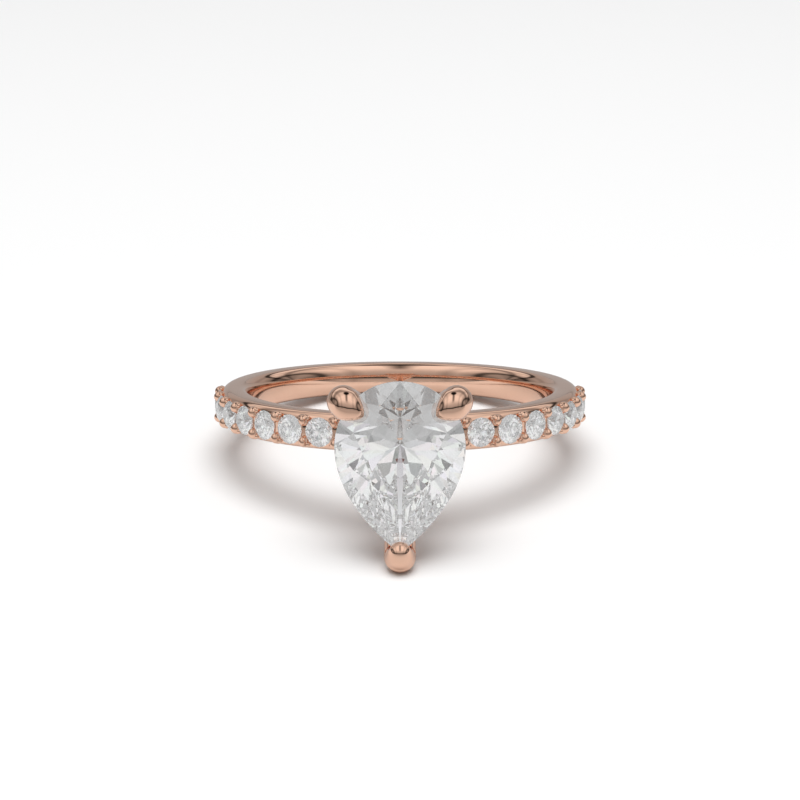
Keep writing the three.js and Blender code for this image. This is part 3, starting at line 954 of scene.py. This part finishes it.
@dataclass
class Studio:
    """The floor, the lamps, the surroundings and the camera."""

    frame: RingFrame
    floor_half: float = 0.6
    floor_strip: float = 0.1
    floor_roughness: float = 0.9
    floor_white: float = 0.92
    # Painted shade: darker greys that only the stones and the metal's reflections see on the
    # floor, which the camera sees white.
    floor_shade_in_stones: float = 0.42
    floor_reflection_shades: Stops = (
        (0.0, 0.42), (0.2, 0.42), (0.4, 0.8), (0.57, 0.8), (0.64, 0.4), (1.0, 0.4),
    )
    camera_distance: float = 0.150
    camera_lift: float = 23.96
    aim_lift: float = 0.00018
    lens: float = 119.9
    nearest: float = 0.005
    key_place: tuple[float, float, float] = (0.0, -0.075, 0.35)
    key_watts: float = 1.0
    key_size: float = 0.28
    tent_light: float = 1.08
    stone_light: float = 1.12
    fire: float = 0.2
    fire_size: float = 26.0
    fill_share: float = 0.75
    tent: Stops = (
        (0.0, 0.5), (0.025, 0.45), (0.04, 0.04), (0.075, 0.05), (0.1, 0.4), (0.2, 0.55),
        (0.35, 0.95), (0.5, 1.0), (0.6, 0.8), (0.68, 0.7), (0.72, 0.35), (0.75, 0.3),
        (0.78, 0.75), (0.83, 0.9), (0.86, 0.7), (0.87, 0.05), (0.89, 0.05), (0.9, 0.4),
        (1.0, 0.4),
    )
    seams: Stops = (
        (0.0, 1.0), (0.3, 1.0), (0.4, 0.7), (0.5, 0.95), (0.62, 0.6), (0.68, 0.1), (0.72, 0.1),
        (0.78, 0.35), (1.0, 0.3),
    )
    streak_reach: Stops = (
        (0.0, 0.0), (0.22, 0.0), (0.34, 0.8), (0.6, 0.9), (0.65, 0.0), (1.0, 0.0),
    )
    streak_width: Stops = ((0.0, 1.0), (0.03, 0.85), (0.12, 0.0), (1.0, 0.0))
    stone_tent: Stops = (
        (0.0, 0.6), (0.05, 0.65), (0.06, 0.15), (0.09, 0.85), (0.25, 0.9), (0.28, 0.2),
        (0.32, 0.85), (0.5, 0.85), (0.53, 0.25), (0.57, 0.85), (0.7, 0.8), (0.72, 0.2),
        (0.76, 0.8), (0.8, 0.2), (0.83, 0.75), (0.86, 0.15), (0.89, 0.7), (0.92, 0.2),
        (0.95, 0.6), (0.97, 0.2), (1.0, 0.5),
    )
    stone_seams: Stops = (
        (0.0, 1.0), (0.2, 1.0), (0.22, 0.4), (0.26, 1.0), (0.4, 1.0), (0.43, 0.35),
        (0.47, 0.9), (0.6, 0.9), (0.63, 0.3), (0.68, 0.8), (1.0, 0.6),
    )
    hole_lift: float = 66.0
    hole_angle: float = 16.0
    hole_core: float = 0.7
    hole_glow: float = 0.02
    eye_white: float = 1.02
    bounces: int = 48

    def floor(self) -> None:
        """Lays a pale floor, whiter to the camera than to what is polished: the metal sees
        painted shade on it, darker greys in bands from front to back, and the stones see one
        darker grey.
        """
        bm = bmesh.new()
        bmesh.ops.create_grid(bm, x_segments=1, y_segments=1, size=self.floor_half)
        floor = mesh_object(bm, "floor")
        material = bpy.data.materials.new("floor_white")
        material.use_nodes = True
        palette = NodePalette(material.node_tree)
        shader = material.node_tree.nodes["Principled BSDF"]
        shader.inputs["Roughness"].default_value = self.floor_roughness
        shader.inputs["Specular IOR Level"].default_value = 0.0
        ray = palette.add("LightPath")
        place = palette.add("TexCoord")
        split = palette.add("SeparateXYZ")
        palette.link(place.outputs["Object"], split.inputs[0])
        away = palette.maths("MULTIPLY_ADD", split.outputs["Y"], 1 / self.floor_strip, 0.5)
        # Painted shade on the floor: banded greys for reflections, a darker grey for the stones,
        # white only for the camera.
        facets = palette.add("Mix", data_type="RGBA")
        facets.inputs[7].default_value = (*[self.floor_shade_in_stones] * 3, 1)
        tone = palette.add("Mix", data_type="RGBA")
        tone.inputs[7].default_value = (*[self.floor_white] * 3, 1)
        palette.link(palette.ramp(away, self.floor_reflection_shades), facets.inputs[6])
        palette.link(ray.outputs["Is Transmission Ray"], facets.inputs[0])
        palette.link(facets.outputs[2], tone.inputs[6])
        palette.link(ray.outputs["Is Camera Ray"], tone.inputs[0])
        palette.link(tone.outputs[2], shader.inputs["Base Color"])
        floor.data.materials.append(material)

    def hole(
        self, palette: NodePalette, direction: bpy.types.NodeSocket
    ) -> bpy.types.NodeSocket:
        """The dark opening high up behind the ring.

        Args:
            palette: the world's nodes.
            direction: the way that is looked.

        Returns:
            A socket that is 1 all round and almost 0 in the opening.
        """
        towards = palette.add("VectorMath", operation="DOT_PRODUCT")
        high = math.radians(self.hole_lift)
        towards.inputs[1].default_value = (0.0, math.cos(high), math.sin(high))
        palette.link(direction, towards.inputs[0])
        hole = palette.add("MapRange")
        hole.inputs["From Min"].default_value = math.cos(math.radians(self.hole_angle))
        core = math.radians(self.hole_angle * self.hole_core)
        hole.inputs["From Max"].default_value = math.cos(core)
        hole.inputs["To Min"].default_value = 1.0
        hole.inputs["To Max"].default_value = self.hole_glow
        palette.link(towards.outputs["Value"], hole.inputs["Value"])
        return hole.outputs["Result"]

    def surroundings(self) -> None:
        """A light tent with dark seams, striped for the stones and white to the eye."""
        world = bpy.data.worlds.new("studio")
        bpy.context.scene.world = world
        world.use_nodes = True
        palette = NodePalette(world.node_tree)
        backdrop = world.node_tree.nodes["Background"]
        place = palette.add("TexCoord")
        split = palette.add("SeparateXYZ")
        palette.link(place.outputs["Generated"], split.inputs[0])
        front = palette.maths("MULTIPLY", split.outputs["Y"], -1.0)
        sweep = palette.maths("ARCTAN2", split.outputs["Z"], front)
        sweep = palette.maths("DIVIDE", sweep, math.pi)
        side = palette.maths("ARCSINE", palette.maths("ABSOLUTE", split.outputs["X"]))
        side = palette.maths("DIVIDE", side, math.pi / 2)
        metal = palette.maths(
            "MULTIPLY", palette.ramp(sweep, self.tent), palette.ramp(side, self.seams))
        streak = palette.maths(
            "MULTIPLY", palette.ramp(sweep, self.streak_reach),
            palette.ramp(side, self.streak_width))
        metal = palette.maths("MULTIPLY", metal, palette.maths("SUBTRACT", 1.0, streak))
        metal = palette.maths("MULTIPLY", metal, self.hole(palette, place.outputs["Generated"]))
        facets = palette.maths(
            "MULTIPLY", palette.ramp(sweep, self.stone_tent),
            palette.ramp(side, self.stone_seams))
        facets = palette.maths("MULTIPLY", facets, self.stone_light)
        ray = palette.add("LightPath")
        chosen = palette.add("Mix", data_type="FLOAT")
        palette.link(ray.outputs["Is Transmission Ray"], chosen.inputs[0])
        palette.link(metal, chosen.inputs[2])
        palette.link(facets, chosen.inputs[3])
        fill = palette.maths(
            "MULTIPLY_ADD", ray.outputs["Is Diffuse Ray"], self.fill_share - 1, 1.0)
        light = palette.maths("MULTIPLY", chosen.outputs[0], fill)
        light = palette.maths("MULTIPLY", light, self.tent_light)
        tinted = palette.add("Mix", data_type="RGBA", blend_type="MULTIPLY")
        flashes = palette.add("TexNoise", Scale=self.fire_size, Detail=1.0)
        palette.link(place.outputs["Generated"], flashes.inputs["Vector"])
        strength = palette.maths("MULTIPLY", ray.outputs["Is Transmission Ray"], self.fire)
        palette.link(strength, tinted.inputs[0])
        palette.link(light, tinted.inputs[6])
        palette.link(flashes.outputs["Color"], tinted.inputs[7])
        seen = palette.add("Mix", data_type="RGBA")
        seen.inputs[7].default_value = (*[self.eye_white] * 3, 1.0)
        palette.link(ray.outputs["Is Camera Ray"], seen.inputs[0])
        palette.link(tinted.outputs[2], seen.inputs[6])
        palette.link(seen.outputs[2], backdrop.inputs["Color"])

    def key(self) -> None:
        """Hangs a broad lamp over the ring, which throws a soft shadow under it."""
        lamp = bpy.data.lights.new("key", "AREA")
        lamp.shape = "DISK"
        lamp.size = self.key_size
        lamp.energy = self.key_watts
        hung = bpy.data.objects.new("key", lamp)
        hung.location = self.key_place
        hung.rotation_euler = (-Vector(self.key_place)).to_track_quat("-Z", "Y").to_euler()
        hung.visible_glossy = False
        hung.visible_transmission = False
        bpy.context.scene.collection.objects.link(hung)

    def camera(self) -> None:
        """Sets the camera at the height of a person's look down at a table."""
        lift = math.radians(self.camera_lift)
        towards = Vector((0, -math.cos(lift), math.sin(lift)))
        centre = self.frame.point(0, 0, 0)
        view = bpy.data.cameras.new("camera")
        view.lens = self.lens
        view.clip_start = self.nearest
        eye = bpy.data.objects.new("camera", view)
        eye.location = centre + towards * self.camera_distance
        look = centre + Vector((0, 0, self.aim_lift)) - eye.location
        eye.rotation_euler = look.to_track_quat("-Z", "Y").to_euler()
        bpy.context.scene.collection.objects.link(eye)
        bpy.context.scene.camera = eye

    def build(self) -> None:
        """Sets everything up."""
        self.camera()
        self.floor()
        self.surroundings()
        self.key()
        scene = bpy.context.scene
        scene.view_settings.view_transform = "Standard"
        scene.cycles.max_bounces = self.bounces
        scene.cycles.transmission_bounces = self.bounces
        scene.cycles.glossy_bounces = self.bounces


# -------------------------------------------------------------------------------- main


def report(piece: bpy.types.Object, node: str) -> None:
    """Registers a piece that stands for a node, and keeps the stones free of its colour.

    Args:
        piece: the finished piece.
        node: the node that it replaces.
    """
    piece.visible_transmission = False
    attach(piece, "root")
    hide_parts(node)
    LOG.info("%s stands for %s with %d faces", piece.name, node, len(piece.data.polygons))


def main() -> None:
    """Builds the ring's looks and the studio round it."""
    logging.basicConfig(level=logging.INFO)
    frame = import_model()
    nodes = frame["nodes"]
    place = RingFrame.from_record(frame["record"], BandSizes())
    Studio(place).build()

    gold = RoseGold("rose_gold_band").build()
    claw_gold = RoseGold("rose_gold_head", grain_size=2200.0).build()
    head = Head(place)
    tool = stone_tool(nodes["centre_stone"], head.sizes.claw_seat_room)
    for node, piece in head.build(claw_gold, tool).items():
        report(piece, node)
    discard(tool)
    pocket = head.collar("pocket_tool", room=head.sizes.room)
    band = Shank(place).build(gold, pocket)
    report(band, "shank")

    centre = Diamond("centre_diamond").build()
    side = Diamond("side_diamond").build()
    for name, node in nodes.items():
        if "stone" in name:
            finish = centre if name == "centre_stone" else side
            node.data.materials.clear()
            node.data.materials.append(finish)
            LOG.info("%s dressed in %s", name, finish.name)


if __name__ == "__main__":
    main()
